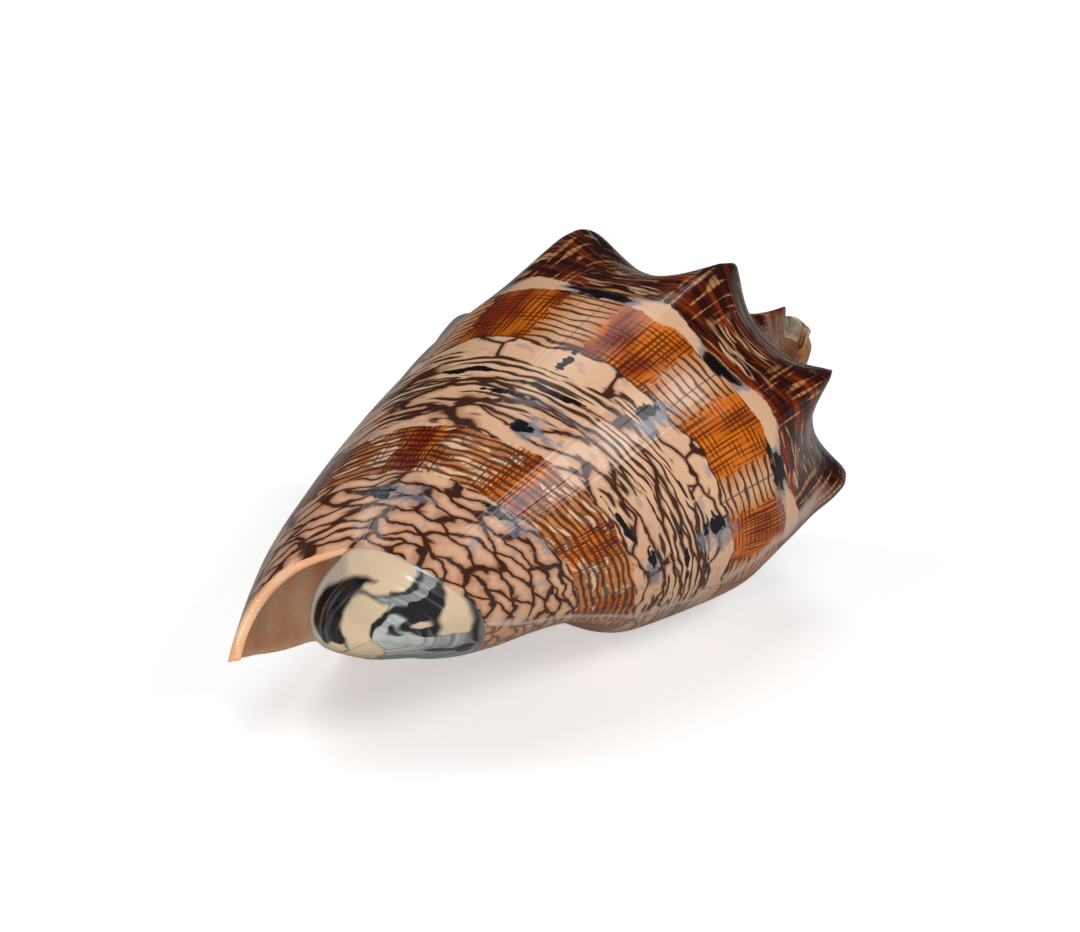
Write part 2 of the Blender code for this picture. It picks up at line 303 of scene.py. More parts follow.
# Inside of the outer wall.
def makeInside(outside, inset):
    tree, (angle, u, height, wall, ripple) = pointTree(
        "inside", ("spine height", "wall", "ripple"))
    r, h = use(tree, inset, angle, u, height, wall)
    here = use(tree, outside, angle, u, 0.45, 1.0, height, 0.0)
    notch = shell["notchAngle"]
    front = u.ease(8.4, 10) * (1 - angle.ease(notch, notch + 30))
    r = r.mixTo(here[0] - 2.5, front)
    h = h.mixTo(here[1] - 5, front)
    corner = use(tree, outside, angle - 360, shell["seamInside"], 1.0, 1.0, height, ripple)
    start = use(tree, inset, angle, 0.0, height, wall)
    share = 1 - u.ease(0, shell["sutureBlend"])
    return finishTree(tree, r + (corner[0] - start[0]) * share,
                      h + (corner[1] - start[1]) * share)


# Inner wall of the hollow: the whorl before, then the columella, then the rim.
def makeColumella(outside, rim):
    tree, (angle, u, height, ripple) = pointTree("columella", ("spine height", "ripple"))
    before = angle - 360
    bodyEnd = shell["bodyEnd"]
    start = use(tree, outside, before, u.do("MINIMUM", bodyEnd), 1.0, 0.0, height, ripple)
    rimR, rimH = use(tree, rim, angle, 10.0)
    left = 1 - angle.ease(150, shell["lipAngle"])
    finish = (rimR - left * 2.5, rimH - left * 5)
    waist = (u * 0 + shell["columellaRadius"], start[1] * 0.45 + finish[1] * 0.55)
    t = (u - bodyEnd).ramp(0, 10 - bodyEnd)
    last = use(tree, outside, before, u, 1.0, 1.0, height, ripple)
    nearLip = angle.ease(shell["lipAngle"] - 75, shell["lipAngle"])
    deep = [a.mixTo(b, t).mixTo(b.mixTo(c, t), t) for a, b, c in zip(start, waist, finish)]
    return finishTree(tree, *[a.mixTo(b, nearLip) for a, b in zip(deep, last)])


# Front face of the fasciole, from its rim (u = 0) to the axis (u = 1).
def makeFace(rim):
    tree, (angle, u) = pointTree("fasciole face")
    r, h = use(tree, rim, angle, 10.0)
    return finishTree(tree, r * (1 - u), h + (shell["tip"] - h) * u ** 1.3
                      + (u * pi).do("SINE") * 2.2)


# Growth angle of a row: past the notch the rows lean over to the lip's outline.
def makeLean():
    tree, (row, u, reach) = newTree(
        "leaning rows", [("row", "Float"), ("u", "Float"), ("reach", "Float")],
        [("angle", "Float")])
    notch = shell["notchAngle"]
    lean = reach * u.ease(0, 2.5) * (1 - u.ease(6.5, 7.5))
    lean -= ((u - 6).do("MAXIMUM", 0) / 4) ** 2 * 24
    share = (row - notch).ramp(0, shell["lipAngle"] - notch)
    return finishTree(tree, row + lean * share)


# From angle, radius and height to the shell as it lies, in metres, worn level underneath.
def makePlace():
    tree, (angle, r, h, x, z) = newTree(
        "as it lies", [(n, "Float") for n in ("angle", "r", "h", "x off", "z off")],
        [("position", "Vector")])
    turn = angle * radians(1)
    across = r * turn.do("COSINE") + x
    along = shell["middle"] - h
    up = r * turn.do("SINE") + z
    tilt = radians(shell["tilt"])
    px, py, pz = shell["place"]
    x = across + px
    y = along * cos(tilt) - up * sin(tilt) + py
    z = (along * sin(tilt) + up * cos(tilt) + pz).do("MAXIMUM", 0)
    joined = addNode(tree, "ShaderNodeCombineXYZ", (x * 0.001, y * 0.001, z * 0.001))
    return finishTree(tree, joined.outputs[0])


# A sheet of the shell over rows (angles) and columns (places). makePoint gives position.
def addSheet(tree, zone, rows, columns, rowStep, columnStep, makePoint):
    spans = (rows[1] - rows[0], columns[1] - columns[0])
    grid = addNode(tree, "GeometryNodeMeshGrid", (
        spans[0], spans[1], round(spans[0] / rowStep) + 1, round(spans[1] / columnStep) + 1))
    spot = addNode(tree, "GeometryNodeInputPosition")
    split = addNode(tree, "ShaderNodeSeparateXYZ", (spot.outputs[0],))
    row = Number(tree, split.outputs[0]) + (rows[0] + rows[1]) / 2
    column = Number(tree, split.outputs[1]) + (columns[0] + columns[1]) / 2
    angle, place, position = makePoint(row, column)
    growth = addNode(tree, "ShaderNodeCombineXYZ", (angle / 360, place / 10, 0.0))
    mapped = addNode(tree, "GeometryNodeStoreNamedAttribute", {
        "Geometry": grid.outputs[0], "Name": "growth", "Value": growth.outputs[0]},
        data_type="FLOAT2", domain="CORNER")
    zoned = addNode(tree, "GeometryNodeStoreNamedAttribute", {
        "Geometry": mapped.outputs[0], "Name": "zone", "Value": zone},
        data_type="INT", domain="FACE")
    return addNode(tree, "GeometryNodeSetPosition", {
        "Geometry": zoned.outputs[0], "Position": position}).outputs[0]


def makeShellTree(materials):
    sizes = [("Spine height", "spineHeight"), ("Wall", "wall"), ("Lip reach", "lipReach"),
             ("Lip rounding", "lipRound"), ("Growth folds", "ripple")]
    tree, (height, wall, reach, roundness, ripple) = newTree(
        "volute shell", [(label, "Float") for label, _ in sizes], [("Shell", "Geometry")])
    spiral, rim = makeSpiral(), makeRim()
    body = makeBody(spiral, rim)
    outside = makeOutside(spiral, body)
    inset = makeInset(outside)
    inside = makeInside(outside, inset)
    columella = makeColumella(outside, rim)
    face, lean, place = makeFace(rim), makeLean(), makePlace()
    rowStep, placeStep = shell["rowStep"], shell["placeStep"]
    lip, notch = shell["lipAngle"], shell["notchAngle"]
    seam, seamInside = shell["seam"], shell["seamInside"]
    spireStart = startAngle - 360 * shell["spireTurns"]
    deep = lip - shell["hollowTurn"]
    edgeStep = 1 / shell["edgeSteps"]

    def outsidePoint(row, u):
        angle, = use(tree, lean, row, u, reach)
        r, h = use(tree, outside, angle, u, 1.0, 1.0, height, ripple)
        return angle, u, use(tree, place, angle, r, h, 0.0, 0.0)[0]

    def insidePoint(row, u):
        angle, = use(tree, lean, row, u, reach)
        r, h = use(tree, inside, angle, u, height, wall, ripple)
        return angle, u, use(tree, place, angle, r, h, 0.0, 0.0)[0]

    def columellaPoint(row, u):
        r, h = use(tree, columella, row, u, height, ripple)
        return row, u, use(tree, place, row, r, h, 0.0, 0.0)[0]

    def facePoint(row, u):
        r, h = use(tree, face, row, u)
        return row, u * 10, use(tree, place, row, r, h, 0.0, 0.0)[0]

    # the nucleus: a dome over the loop that the first suture leaves open
    def nucleusPoint(loop, ring):
        past = (loop - 360).ramp(0, shell["nucleusEnd"])
        onRow = (loop - 360).do("GREATER_THAN", 0.5)
        angle = loop * (1 - onRow) + spireStart
        r, h = use(tree, outside, angle, (1 - past) * onRow * seam, 1.0, 1.0, height, ripple)
        # above the loop it rounds to a ribbed dome
        ribs = (angle * radians(shell["nucleusRibs"])).do("COSINE") * shell["nucleusRibHeight"]
        ribs *= (ring * pi).do("SINE")
        swollen = ring.ease(0, 0.4)
        r = r.mixTo(ribs + shell["nucleusRadius"], swollen)
        fullness = shell["nucleusFullness"]
        out = (ring * pi / 2).do("COSINE").do("MAXIMUM", 0) ** fullness[0]
        up = (ring * pi / 2).do("SINE") ** fullness[1]
        shift = shell["apexShift"]
        position = use(tree, place, angle, r * out, h + (shell["apex"] - h) * up,
                       swollen * shift[0], swollen * shift[1])[0]
        return angle, ring * 10, position

    # an edge between two surfaces, pushed out to a round
    def edgePoint(angle, first, second, share, pushR, pushH, pushAngle, root=None, rooted=0):
        r = first[0].mixTo(second[0], share)
        h = first[1].mixTo(second[1], share)
        if root:
            r = r.mixTo(root[0], rooted)
            h = h.mixTo(root[1], rooted)
        bulge = (share * pi).do("SINE") * roundness
        turned = angle + bulge * pushAngle / r * (180 / pi)
        return use(tree, place, turned, r + bulge * pushR, h + bulge * pushH, 0.0, 0.0)[0]

    def lipPoint(share, u):
        row = share * 0 + lip
        angle, = use(tree, lean, row, u, reach)
        first = use(tree, outside, angle, u, 1.0, 1.0, height, ripple)
        second = use(tree, inside, angle, u, height, wall, ripple)
        push = u.ease(0, 0.8) * (1 - u.ease(9.2, 10))
        # its upper end lies on the whorl before
        root = use(tree, outside, row - 360, share * (seamInside - seam) + seam, 1.0, 1.0,
                   height, ripple)
        return angle, u, edgePoint(angle, first, second, share, 0, 0, push, root,
                                   1 - u.ease(0, 0.09))

    def wingPoint(row, share):
        u = share * 0 + 10
        angle, = use(tree, lean, row, u, reach)
        first = use(tree, outside, angle, u, 1.0, 1.0, height, ripple)
        second = use(tree, inside, angle, u, height, wall, ripple)
        push = row.ease(notch, notch + 20) * (1 - row.ease(lip - 16, lip))
        return angle, u, edgePoint(angle, first, second, share, 0, push, 0)

    def rimPoint(row, share):
        first = use(tree, columella, row, share * 0 + 10, height, ripple)
        second = use(tree, face, row, share * 0)
        push = row.ease(notch, notch + 20) * (1 - row.ease(lip - 40, lip))
        return row, share * 0 + 10, edgePoint(row, first, second, share, push * 0.9,
                                              push * -0.45, 0)

    sheets = [
        addSheet(tree, 0, (startAngle, lip), (0, 10), rowStep, placeStep, outsidePoint),
        addSheet(tree, 0, (spireStart, startAngle), (0, seam), rowStep, placeStep,
                 outsidePoint),
        addSheet(tree, 1, (startAngle, lip), (0, 1), rowStep, shell["faceStep"], facePoint),
        addSheet(tree, 2, (0, 360 + shell["nucleusEnd"]), (0, 1), rowStep,
                 shell["ringStep"], nucleusPoint),
        addSheet(tree, 3, (deep, lip), (0, 10), rowStep, placeStep, insidePoint),
        addSheet(tree, 3, (deep, lip), (seamInside, 10), rowStep, placeStep, columellaPoint),
        addSheet(tree, 3, (0, 1), (0, 10), edgeStep, placeStep, lipPoint),
        addSheet(tree, 3, (notch, lip), (0, 1), rowStep, edgeStep, wingPoint),
        addSheet(tree, 1, (notch, lip), (0, 1), rowStep, edgeStep, rimPoint),
    ]
    joined = addNode(tree, "GeometryNodeJoinGeometry")
    for sheet in sheets:
        tree.links.new(sheet, joined.inputs[0])
    welded = addNode(tree, "GeometryNodeMergeByDistance", {
        "Geometry": joined.outputs[0], "Distance": shell["weld"]})
    smoothed = addNode(tree, "GeometryNodeSetShadeSmooth", {"Geometry": welded.outputs[0]})
    last = addNode(tree, "GeometryNodeRealizeInstances", (smoothed.outputs[0],)).outputs[0]
    zoneOf = addNode(tree, "GeometryNodeInputNamedAttribute", ("zone",), data_type="INT")
    for zone, material in enumerate(materials):
        here = addNode(tree, "FunctionNodeCompare", {
            "A": zoneOf.outputs[0], "B": zone}, data_type="INT", operation="EQUAL")
        last = addNode(tree, "GeometryNodeSetMaterial", {
            "Geometry": last, "Selection": here.outputs[0], "Material": material}).outputs[0]
    return finishTree(tree, last), sizes


def makeShell(materials):
    tree, sizes = makeShellTree(materials)
    holder = bpy.data.objects.new("shellHolder", bpy.data.meshes.new("shellHolder"))
    bpy.context.scene.collection.objects.link(holder)
    modifier = holder.modifiers.new("growth", "NODES")
    modifier.node_group = tree
    sockets = {item.name: item.identifier for item in tree.interface.items_tree
               if item.in_out == "INPUT"}
    for label, key in sizes:
        modifier[sockets[label]] = shell[key]
    bpy.context.view_layer.update()
    evaluated = holder.evaluated_get(bpy.context.evaluated_depsgraph_get())
    mesh = bpy.data.meshes.new_from_object(evaluated)
    bpy.data.objects.remove(holder)
    while None in mesh.materials[:]:
        mesh.materials.pop(index=mesh.materials[:].index(None))
    # the deep end of the hollow is closed, and all faces turned outwards
    bm = bmesh.new()
    bm.from_mesh(mesh)
    bmesh.ops.dissolve_degenerate(bm, dist=1e-7, edges=bm.edges)
    openEdges = [edge for edge in bm.edges if edge.is_boundary]
    print("shell before closing:", len(bm.faces), "faces,", len(openEdges), "open edges")
    bmesh.ops.holes_fill(bm, edges=openEdges, sides=0)
    bmesh.ops.recalc_face_normals(bm, faces=bm.faces)
    bmesh.ops.triangulate(bm, faces=[face for face in bm.faces if len(face.verts) > 4])
    print("shell:", len(bm.faces), "faces,",
          sum(not edge.is_manifold for edge in bm.edges), "loose edges,",
          round(bm.calc_volume() * 1e6, 1), "cm3")
    bm.to_mesh(mesh)
    bm.free()
    piece = bpy.data.objects.new("voluteShell", mesh)
    bpy.context.scene.collection.objects.link(piece)
    return piece


# Lays a colour over another by a share from 0 to 1.
def paint(under, over, share):
    node = addNode(share.tree, "ShaderNodeMix", {0: share, 6: under, 7: over}, data_type="RGBA")
    return node.outputs[2]


# A material and its main shader; the surface's own place comes from its growth map: the
# growth angle in degrees, and u along the growing edge.
def newMaterial(name, **settings):
    material = bpy.data.materials.new(name)
    material.use_nodes = True
    tree = material.node_tree
    shader = tree.nodes["Principled BSDF"]
    for label, value in settings.items():
        shader.inputs[label.replace("_", " ")].default_value = value
    growth = addNode(tree, "ShaderNodeUVMap", uv_map="growth", name="growthMap")
    split = addNode(tree, "ShaderNodeSeparateXYZ", (growth.outputs[0],))
    angle, u = Number(tree, split.outputs[0]) * 360, Number(tree, split.outputs[1]) * 10
    return material, shader, angle, u


def finishMaterial(shader, colour, roughness=None, relief=None, depth=0.0001):
    tree = shader.id_data
    tree.links.new(colour, shader.inputs["Base Color"])
    if roughness is not None:
        tree.links.new(roughness.socket, shader.inputs["Roughness"])
    if relief is not None:
        bump = addNode(tree, "ShaderNodeBump", {
            "Height": relief, "Distance": depth, "Strength": 1.0})
        tree.links.new(bump.outputs[0], shader.inputs["Normal"])


# Markings. The bands begin and end at these places along the growing edge.
markings = {
    "perDegree": 0.68,  # millimetres on the last whorl in a degree of growth
    "perPlace": 13.5,  # and in one step of u
    "cream": "#E2B692",
    "pinkCream": "#CE9C7E",
    "lineBrown": "#2E0D08",
    "lineEdge": "#9C5C3A",
    "black": "#120D12",
    "blueGrey": "#7C7F8C",
    "orange": "#DC7218",
    "tanOrange": "#C5783A",
    "redBrown": "#8A300B",
    "maroon": "#38110A",
    "crownTan": "#C48A58",
    "milky": "#CDB9AC",
    "glaze": "#B98468",
    "blockPitch": 39.0,
    "blockFirst": 109.5,
    "lowerPitch": 42.0,
    "lowerFirst": 104.0,
    "stripe": 4.72,
    "upperBand": 5.04,
    "largeTents": 6.14,
    "middleLines": 6.67,
    "smallTents": 7.4,
    "lowerBand": 8.02,
    "frontNet": 8.9,
    "softness": 0.014,  # half the width of a band's edge, in u
    # large black marks: growth angle, u, half length and half height in mm, bluish edge
    "marks": [
        (109, 6.9, 7, 0.9, 0), (75, 7.02, 8, 0.7, 0), (90, 7.27, 6, 0.8, 0.3),
        (53, 6.42, 1.8, 2.6, 0.9), (5, 6.45, 2.8, 3.2, 0.7), (82, 6.38, 1, 3, 0),
        (78, 7.72, 2.8, 1.5, 0.9), (2, 7.7, 4, 1, 0.9), (59, 9.0, 6, 0.9, 0.6),
        (108, 9.25, 5, 1.3, 0.6), (-8, 7.1, 9, 0.6, 0), (22, 7.88, 7, 0.8, 0),
        (96, 5.02, 4, 0.7, 0), (14, 5.08, 6, 0.9, 0.4), (137, 6.6, 8, 0.8, 0),
        (150, 7.9, 6, 1, 0.5)],
    # nets in large tents, middle lines, small tents and the front: cell length and height,
    # seed, wobble, line width, the most it widens by, length and height of the heavy places
    "nets": [(30, 20, 41.0, 0.12, 0.5, 2.0, 5, 3), (60, 7, 21.0, 0.3, 0.4, 0.4, 11, 1.2),
             (38, 6.6, 33.0, 0.35, 0.45, 1.2, 7, 1.6), (21, 3, 51.0, 0.25, 0.36, 0.5, 7, 1.7)],
    # edge of the glaze over the underside: growth angle at u = 4, 5, 6, 7, 8, 9 and 10
    "glazeEdge": (-8, -13, -27, -36, -38, -22, 4),
}


# The place on the surface, counted in steps of this length and height in millimetres.
def steps(tree, length, height, offset):
    growth = tree.nodes["growthMap"].outputs[0]
    scale = (360 * markings["perDegree"] / length, 10 * markings["perPlace"] / height, 0.0)
    return addNode(tree, "ShaderNodeVectorMath", (growth, scale, (*offset, 0.0)),
                   operation="MULTIPLY_ADD").outputs[0]


# Random patches of this length and height in millimetres, from -1 to 1.
def patches(tree, length, height, seed, detail=1.0):
    spot = steps(tree, length, height, (seed * 7.3, seed * 3.1))
    noise = addNode(tree, "ShaderNodeTexNoise", {
        "Vector": spot, "Scale": 1.0, "Detail": detail}, noise_dimensions="2D")
    node = addNode(tree, "ShaderNodeMapRange", (noise.outputs[0], 0.18, 0.82, -1.0, 1.0))
    return Number(tree, node.outputs[0])


# Where a place lies in a net of pointed cells. The grid of cells stands on its corners, so
# the lines between them run at a slant and meet in a V.
def inNet(angle, u, length, height, seed, wobble):
    tree = angle.tree
    sway = patches(tree, length * 0.45, height * 2.2, seed + 3, 0.5)
    swayed = u + sway * (wobble * height / markings["perPlace"])
    swayed += patches(tree, 4, 2.5, seed + 6) * 0.02
    along = angle * (markings["perDegree"] / length)
    along += patches(tree, 8, height, seed + 4) * 0.09
    across = swayed * (markings["perPlace"] / height)
    return addNode(tree, "ShaderNodeCombineXYZ", (
        along + across + seed, across - along + seed, 0.0)).outputs[0]


# How far the net's nearest line is, in millimetres.
def netLine(angle, u, length, height, seed, wobble, randomness=0.9):
    tree = angle.tree
    spot = inNet(angle, u, length, height, seed, wobble)
    node = addNode(tree, "ShaderNodeTexVoronoi", {
        "Vector": spot, "Scale": 1.0, "Randomness": randomness},
        voronoi_dimensions="2D", feature="DISTANCE_TO_EDGE")
    return Number(tree, node.outputs["Distance"]) * (height * 0.7)


# Pointed streaks: cells of a net, picked at random; share of them from 0 to 1.
def streaks(angle, u, length, height, seed, wobble, share):
    tree = angle.tree
    spot = inNet(angle, u, length, height, seed, wobble)
    node = addNode(tree, "ShaderNodeTexVoronoi", {"Vector": spot, "Scale": 1.0},
                   voronoi_dimensions="2D", feature="F1")
    split = addNode(tree, "ShaderNodeSeparateColor", (node.outputs["Color"],))
    picked = (share - Number(tree, split.outputs[0])).ease(-0.02, 0.04)
    return picked * (1 - Number(tree, node.outputs["Distance"]).ease(0.36, 0.52))


# A line of this width, soft at its edges, from the distance to its middle.
def line(distance, width):
    return 1 - (distance * 2 / width).ease(0.6, 1.6)


# How far the nearest spiral line is; the lines wander by sway millimetres.
def spirals(angle, u, spacing, sway, seed):
    wander = patches(angle.tree, 9, spacing * 2.5, seed) * sway
    return (u * markings["perPlace"] + wander).do("PINGPONG", spacing / 2)


# How far the nearest growth line is: old places of the lip, unevenly spaced.
def growthLines(angle, u, spacing, seed):
    wander = (patches(angle.tree, 40, 30, seed + 1) * 0.8
              + patches(angle.tree, spacing * 2, 400, seed) * spacing * 0.5)
    return (angle * markings["perDegree"] + wander).do("PINGPONG", spacing / 2)


# An orange block: crossed by growth lines and spiral lines, and redder towards the lip.
def paintBlock(m, angle, u, late):
    tree = angle.tree
    redder = (patches(tree, 6, 14, 89.0) + late * 0.8).ease(-0.4, 1)
    block = paint(m["orange"], m["redBrown"], redder)
    worked = patches(tree, 14, 30, 84.0) * 0.6
    lattice = line(growthLines(angle, u, 1.15, 81.0), worked * 0.4 + 0.5)
    lattice *= (patches(tree, 4, 12, 83.0) + worked).ease(-0.7, 0.3)
    rows = line(spirals(angle, u, 1.1, 0.2, 85.0), 0.36)
    rows *= patches(tree, 7, 3, 87.0).ease(-0.5, 0.5)
    return paint(block, m["lineBrown"], (lattice + rows).do("MINIMUM", 1) * 0.8)


# The lower band: looser blocks, with streaks of cream between them.
def paintLowerBand(m, angle, u, late):
    tree = angle.tree
    side = ((angle - m["lowerFirst"]).do("PINGPONG", m["lowerPitch"] / 2)
            + patches(tree, 30, 3, 91.0) * 4 + patches(tree, 4, 1.2, 92.0))
    redder = (patches(tree, 5, 9, 94.0) + late + 0.3).ease(-0.4, 1.2)
    band = paint(m["orange"], m["redBrown"], redder)
    band = paint(band, m["crownTan"], side.ease(4, 14) * 0.55)
    cream = streaks(angle, u, 12, 2.2, 96.0, 0.5, side.ease(2, 13) * 0.5 + 0.08)
    band = paint(band, m["cream"], cream)
    lattice = (line(growthLines(angle, u, 1.15, 95.0), 0.45) * (1 - side.ease(12, 17))
               * patches(tree, 4, 8, 97.0).ease(-0.7, 0.3))
    rows = line(spirals(angle, u, 1.35, 0.5, 93.0), patches(tree, 6, 2, 98.0) * 0.3 + 0.58)
    return paint(band, m["lineBrown"], (lattice + rows).do("MINIMUM", 1) * 0.85)


# The large black marks, with torn edges and a bluish shadow on one side.
def paintMarks(m, colour, angle):
    tree = angle.tree
    torn = patches(tree, 5, 1.4, 161.0) * 0.7 + patches(tree, 1.8, 0.8, 163.0) * 0.3
    for markAngle, place, length, height, bluish in m["marks"]:
        spot = steps(tree, length, height, (-markAngle * m["perDegree"] / length,
                                            -place * m["perPlace"] / height))
        reach = addNode(tree, "ShaderNodeVectorMath", (spot,), operation="LENGTH")
        far = Number(tree, reach.outputs["Value"]) + torn
        if bluish:
            along = (angle - markAngle) * (m["perDegree"] / length * 0.6)
            shadow = (1 - (far + along).ease(0.7, 1.5)) * bluish
            colour = paint(colour, m["blueGrey"], shadow)
        colour = paint(colour, m["black"], 1 - far.ease(0.75, 1))
    return colour


# The crown and the spire: nearly all dark, with streaks of the ground left.
def paintCrown(m, angle, u, away):
    tree = angle.tree
    crown = paint(m["maroon"], m["redBrown"], patches(tree, 9, 3, 103.0).ease(-0.3, 0.9))
    # across the front of each spine the streaks run with the growth lines, elsewhere round
    front = 1 - (away + patches(tree, 9, 9, 99.0) * 4).ease(6, 10)
    width = (patches(tree, 11, 1.8, 106.0) + 0.3).do("MAXIMUM", 0.02)
    around = line(spirals(angle, u, 2.2, 1.5, 105.0), width)
    width = (patches(tree, 2.5, 9, 116.0) + 0.2).do("MAXIMUM", 0.02)
    across = line(growthLines(angle, u, 1.9, 115.0), width)
    crown = paint(crown, m["crownTan"], around.mixTo(across, front) * 0.85)
    share = patches(tree, 14, 7, 108.0) * 0.3 + 0.15
    cream = streaks(angle, u, 13, 1.2, 109.0, 0.8, share) * (1 - front) * 0.85
    crown = paint(crown, m["cream"], cream)
    crown = paint(crown, m["black"], line(spirals(angle, u, 1.9, 0.8, 107.0), 0.6) * 0.6)
    # the crest is black, most of all at the spines, with a thin pale line along it between the
    # spines
    tips = (1 - away.ease(1.5, 6)) * u.bell(3.1, 0.3)
    crown = paint(crown, m["black"], (u.bell(2.85, 0.13) * 0.75).do("MAXIMUM", tips * 0.9))
    crown = paint(crown, m["milky"], u.bell(3.02, 0.025) * away.ease(2, 7) * 0.6)
    # the early whorls are paler and redder
    paler = paint(m["redBrown"], m["crownTan"], patches(tree, 5, 4, 151.0).ease(-0.8, 0.6))
    return paint(crown, paler, (angle * -1).ease(150, 230) * 0.4)


# The glaze laid over the underside: milky at its edge, then ever thicker.
def paintGlaze(m, colour, angle, u):
    edgeAngle = readTable(u.ramp(4, 10), [i / 6 for i in range(7)],
                          [value + 50 for value in m["glazeEdge"]]) - 50
    past = (edgeAngle - angle + patches(angle.tree, 7, 7, 141.0) * 3) * m["perDegree"]
    reach = u.ease(3.6, 4.4)
    thick = (past.ease(0, 3) * 0.35 + past.ease(8, 55) * 0.6) * reach
    colour = paint(colour, m["glaze"], thick)
    return paint(colour, m["milky"], past.bell(1, 1.6) * reach * 0.75)


# Natural aragonite, grown in spiral bands under a thin glaze: it gives the eye warm cream with
# brown lines, and narrow highlights on a surface that is smooth but for fine growth lines.
def makePatterned():
    material, shader, angle, u = newMaterial("patternedShell", IOR=1.53, Specular_IOR_Level=0.28)
    tree = angle.tree
    m = {key: linear(value) if isinstance(value, str) else value
         for key, value in markings.items()}
    soft = m["softness"]
    ragged = u + patches(tree, 7, 2.2, 1.0) * 0.05 + patches(tree, 1.6, 1.6, 2.0) * 0.015
    away = (angle - m["blockFirst"]).do("PINGPONG", m["blockPitch"] / 2)
    hollowness = (away / (m["blockPitch"] / 2)) ** 2
    late = angle.ease(60, 130)  # older lines crowd and darken towards the lip

    def after(place):
        return (ragged - place).ease(-soft, soft)

    crownEnd = away.ease(0, 16) * 0.12 + m["stripe"]
    bandTop = hollowness * 0.12 + m["largeTents"]
    inCrown = 1 - after(crownEnd)
    inStripe = after(crownEnd) - after(m["upperBand"])
    inUpper = after(m["upperBand"]) - after(bandTop)
    inLarge = (after(bandTop) - after(m["middleLines"])).do("MAXIMUM", 0)
    inMiddle = after(m["middleLines"]) - after(m["smallTents"])
    inTents = after(m["smallTents"]) - after(m["lowerBand"])
    inLower = after(m["lowerBand"]) - after(m["frontNet"])
    inFront = after(m["frontNet"])

    # the ground: cream, pinker to the front, clouded
    cloud = patches(tree, 20, 9, 11.0)
    colour = paint(m["cream"], m["pinkCream"], u.ramp(6.5, 10) * 0.75 + cloud * 0.25)

    # the lines of the nets, widening in heavy places
    lines = line((ragged - bandTop).do("ABSOLUTE") * m["perPlace"], 0.8)
    thick = lines * 0
    halo = lines * 0
    for zone, net in zip((inLarge, inMiddle, inTents, inFront), m["nets"]):
        length, height, seed, wobble, width, extra, heavyLength, heavyHeight = net
        heavy = patches(tree, heavyLength, heavyHeight, seed + 5).ease(0.2, 0.9)
        distance = netLine(angle, u, length, height, seed, wobble)
        lines += line(distance, heavy * extra + width) * zone
        halo += line(distance, heavy * extra + width + 0.55) * zone
        thick += heavy * zone
    # long black dashes among the middle lines, and short lines above and below them
    dashes = patches(tree, 17, 1.0, 121.0).ease(0.55, 0.68) * inMiddle
    drawn = patches(tree, 20, 2.2, 125.0)
    extra = line(spirals(angle, u, 1.55, 0.7, 123.0), (drawn * 0.5 + 0.55).do("MAXIMUM", 0.1))
    extra *= (drawn + inMiddle * 0.75).ease(0.2, 0.4) * after(6.45) * (1 - after(7.9))
    lines = lines.do("MAXIMUM", dashes).do("MAXIMUM", extra).do("MINIMUM", 1)
    thick = (thick * 0.7).do("MAXIMUM", dashes)
    colour = paint(colour, m["lineEdge"], halo * 0.5)
    # bluish shadows of covered pigment beside the thick marks
    shade = patches(tree, 7, 3, 57.0).ease(0.4, 0.9) * (inTents + inLarge + inFront)
    colour = paint(colour, m["blueGrey"], shade * 0.45)

    # upper band: cream with spiral lines, and an orange block at each spine
    rows = line(spirals(angle, u - hollowness * 0.05, 1.75, 0.7, 61.0),
                patches(tree, 5, 1.5, 64.0) * 0.3 + 0.52) * 0.95
    oldLips = line(growthLines(angle, u, 4.2, 63.0), 0.4) * away.ease(15, 18) * 0.7
    lines = lines.do("MAXIMUM", rows.do("MAXIMUM", oldLips) * inUpper)
    side = away + patches(tree, 30, 2.2, 71.0) * 1.6 + patches(tree, 4, 1.0, 72.0) * 0.8
    colour = paint(colour, m["tanOrange"], ((1 - side.ease(11, 18)) * 0.55 + 0.35) * inUpper)
    colour = paint(colour, paint(m["lineBrown"], m["black"], thick ** 2), lines * 0.95)
    block = paintBlock(m, angle, u, late)
    colour = paint(colour, block, (1 - side.ease(10.8, 11.8)) * inUpper)

    colour = paint(colour, paintLowerBand(m, angle, u, late), inLower)
    colour = paintMarks(m, colour, angle)
    colour = paint(colour, paintCrown(m, angle, u, away), inCrown)
    # black blotches that break the cream stripe below the crown, with a bluish edge
    gap = away + patches(tree, 8, 2.5, 111.0) * 6 + (crownEnd - u) * 14
    colour = paint(colour, m["blueGrey"], inStripe * gap.ease(6, 9) * 0.8)
    colour = paint(colour, m["maroon"], inStripe * gap.ease(10, 12))
    colour = paint(colour, m["black"], inStripe * gap.ease(12, 15))

    colour = paintGlaze(m, colour, angle, u)
    # fine growth lines and finer spiral threads in the glaze
    relief = (patches(tree, 0.9, 40, 131.0) * 0.6 + patches(tree, 4, 60, 133.0)
              + patches(tree, 30, 0.7, 135.0) * 0.25)
    roughness = patches(tree, 12, 8, 137.0) * 0.04 + 0.22
    finishMaterial(shader, colour, roughness, relief, 0.000035)
    return material


